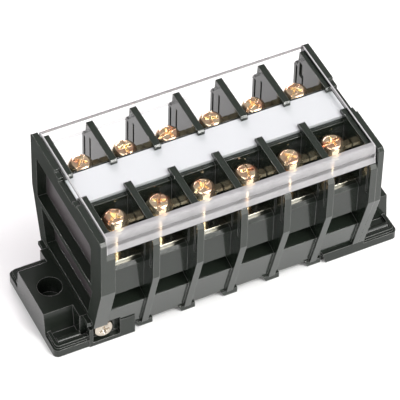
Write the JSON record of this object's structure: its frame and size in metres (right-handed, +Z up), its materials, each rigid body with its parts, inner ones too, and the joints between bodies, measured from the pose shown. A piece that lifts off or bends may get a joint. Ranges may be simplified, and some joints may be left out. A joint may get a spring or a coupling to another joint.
{
  "type": "barrier terminal strip",
  "caption": "Black barrier terminal strip with raised captive clamp screws front and back, a white marking strip, a clear lift-off cover and a screw-down foot at each end.",
  "frame": {"origin": "middle of the footprint, at the height of the surface that the feet stand on", "axes": "+X along the row of poles, -Y to the side shown as the front, +Z up"},
  "size_m": [0.122, 0.0528, 0.0554],
  "materials": {
    "body_plastic": "semi-gloss moulded black",
    "foot_plastic": "semi-gloss moulded black",
    "rail_steel": "zinc plated",
    "bar_plating": "nickel plated",
    "washer_plating": "yellow chromate",
    "screw_plating": "yellow chromate",
    "strip_white": "smooth white",
    "cover_clear": "clear moulded plastic",
    "clamp_zinc": "pale zinc"
  },
  "bodies": {
    "base": {"pole_module_1": "body_plastic", "pole_module_2": "body_plastic", "pole_module_3": "body_plastic", "pole_module_4": "body_plastic", "pole_module_5": "body_plastic", "pole_module_6": "body_plastic", "end_block_left": "body_plastic", "end_block_right": "body_plastic", "foot_left": "foot_plastic", "foot_right": "foot_plastic", "mounting_rail": "rail_steel", "conductor_bar_1": "bar_plating", "conductor_bar_2": "bar_plating", "conductor_bar_3": "bar_plating", "conductor_bar_4": "bar_plating", "conductor_bar_5": "bar_plating", "conductor_bar_6": "bar_plating", "marking_strip": "strip_white", "clamp_nut_left": "clamp_zinc", "clamp_nut_right": "clamp_zinc"},
    "cover": {"cover": "cover_clear"},
    "washer_front_1": {"lift_washer_front_1": "washer_plating"},
    "screw_front_1": {"terminal_screw_front_1": "screw_plating"},
    "washer_front_2": {"lift_washer_front_2": "washer_plating"},
    "screw_front_2": {"terminal_screw_front_2": "screw_plating"},
    "washer_front_3": {"lift_washer_front_3": "washer_plating"},
    "screw_front_3": {"terminal_screw_front_3": "screw_plating"},
    "washer_front_4": {"lift_washer_front_4": "washer_plating"},
    "screw_front_4": {"terminal_screw_front_4": "screw_plating"},
    "washer_front_5": {"lift_washer_front_5": "washer_plating"},
    "screw_front_5": {"terminal_screw_front_5": "screw_plating"},
    "washer_front_6": {"lift_washer_front_6": "washer_plating"},
    "screw_front_6": {"terminal_screw_front_6": "screw_plating"},
    "washer_back_1": {"lift_washer_back_1": "washer_plating"},
    "screw_back_1": {"terminal_screw_back_1": "screw_plating"},
    "washer_back_2": {"lift_washer_back_2": "washer_plating"},
    "screw_back_2": {"terminal_screw_back_2": "screw_plating"},
    "washer_back_3": {"lift_washer_back_3": "washer_plating"},
    "screw_back_3": {"terminal_screw_back_3": "screw_plating"},
    "washer_back_4": {"lift_washer_back_4": "washer_plating"},
    "screw_back_4": {"terminal_screw_back_4": "screw_plating"},
    "washer_back_5": {"lift_washer_back_5": "washer_plating"},
    "screw_back_5": {"terminal_screw_back_5": "screw_plating"},
    "washer_back_6": {"lift_washer_back_6": "washer_plating"},
    "screw_back_6": {"terminal_screw_back_6": "screw_plating"},
    "clamp_left": {"clamp_screw_left": "clamp_zinc"},
    "clamp_right": {"clamp_screw_right": "clamp_zinc"}
  },
  "joints": [
    {"name": "cover_lift", "type": "slide", "parent": "base", "child": "cover", "axis": [0, 0, 1], "range_m": [0, 0.03]},
    {"name": "press_front_1", "type": "slide", "parent": "base", "child": "washer_front_1", "axis": [0, 0, 1], "range_m": [-0.01, 0]},
    {"name": "turn_front_1", "type": "hinge", "parent": "washer_front_1", "child": "screw_front_1", "pos_m": [-0.03748, -0.0126, 0.047], "axis": [0, 0, 1], "continuous": true},
    {"name": "press_front_2", "type": "slide", "parent": "base", "child": "washer_front_2", "axis": [0, 0, 1], "range_m": [-0.01, 0]},
    {"name": "turn_front_2", "type": "hinge", "parent": "washer_front_2", "child": "screw_front_2", "pos_m": [-0.02247, -0.0126, 0.047], "axis": [0, 0, 1], "continuous": true},
    {"name": "press_front_3", "type": "slide", "parent": "base", "child": "washer_front_3", "axis": [0, 0, 1], "range_m": [-0.01, 0]},
    {"name": "turn_front_3", "type": "hinge", "parent": "washer_front_3", "child": "screw_front_3", "pos_m": [-0.00747, -0.0126, 0.047], "axis": [0, 0, 1], "continuous": true},
    {"name": "press_front_4", "type": "slide", "parent": "base", "child": "washer_front_4", "axis": [0, 0, 1], "range_m": [-0.01, 0]},
    {"name": "turn_front_4", "type": "hinge", "parent": "washer_front_4", "child": "screw_front_4", "pos_m": [0.00752, -0.0126, 0.047], "axis": [0, 0, 1], "continuous": true},
    {"name": "press_front_5", "type": "slide", "parent": "base", "child": "washer_front_5", "axis": [0, 0, 1], "range_m": [-0.01, 0]},
    {"name": "turn_front_5", "type": "hinge", "parent": "washer_front_5", "child": "screw_front_5", "pos_m": [0.02252, -0.0126, 0.047], "axis": [0, 0, 1], "continuous": true},
    {"name": "press_front_6", "type": "slide", "parent": "base", "child": "washer_front_6", "axis": [0, 0, 1], "range_m": [-0.01, 0]},
    {"name": "turn_front_6", "type": "hinge", "parent": "washer_front_6", "child": "screw_front_6", "pos_m": [0.03753, -0.0126, 0.047], "axis": [0, 0, 1], "continuous": true},
    {"name": "press_back_1", "type": "slide", "parent": "base", "child": "washer_back_1", "axis": [0, 0, 1], "range_m": [-0.01, 0]},
    {"name": "turn_back_1", "type": "hinge", "parent": "washer_back_1", "child": "screw_back_1", "pos_m": [-0.03748, 0.0126, 0.047], "axis": [0, 0, 1], "continuous": true},
    {"name": "press_back_2", "type": "slide", "parent": "base", "child": "washer_back_2", "axis": [0, 0, 1], "range_m": [-0.01, 0]},
    {"name": "turn_back_2", "type": "hinge", "parent": "washer_back_2", "child": "screw_back_2", "pos_m": [-0.02247, 0.0126, 0.047], "axis": [0, 0, 1], "continuous": true},
    {"name": "press_back_3", "type": "slide", "parent": "base", "child": "washer_back_3", "axis": [0, 0, 1], "range_m": [-0.01, 0]},
    {"name": "turn_back_3", "type": "hinge", "parent": "washer_back_3", "child": "screw_back_3", "pos_m": [-0.00747, 0.0126, 0.047], "axis": [0, 0, 1], "continuous": true},
    {"name": "press_back_4", "type": "slide", "parent": "base", "child": "washer_back_4", "axis": [0, 0, 1], "range_m": [-0.01, 0]},
    {"name": "turn_back_4", "type": "hinge", "parent": "washer_back_4", "child": "screw_back_4", "pos_m": [0.00752, 0.0126, 0.047], "axis": [0, 0, 1], "continuous": true},
    {"name": "press_back_5", "type": "slide", "parent": "base", "child": "washer_back_5", "axis": [0, 0, 1], "range_m": [-0.01, 0]},
    {"name": "turn_back_5", "type": "hinge", "parent": "washer_back_5", "child": "screw_back_5", "pos_m": [0.02252, 0.0126, 0.047], "axis": [0, 0, 1], "continuous": true},
    {"name": "press_back_6", "type": "slide", "parent": "base", "child": "washer_back_6", "axis": [0, 0, 1], "range_m": [-0.01, 0]},
    {"name": "turn_back_6", "type": "hinge", "parent": "washer_back_6", "child": "screw_back_6", "pos_m": [0.03753, 0.0126, 0.047], "axis": [0, 0, 1], "continuous": true},
    {"name": "clamp_turn_left", "type": "hinge", "parent": "base", "child": "clamp_left", "pos_m": [-0.0441, -0.0169, 0.0058], "axis": [0, 1, 0], "continuous": true},
    {"name": "clamp_turn_right", "type": "hinge", "parent": "base", "child": "clamp_right", "pos_m": [0.0441, 0.0169, 0.0058], "axis": [0, 1, 0], "continuous": true}
  ]
}
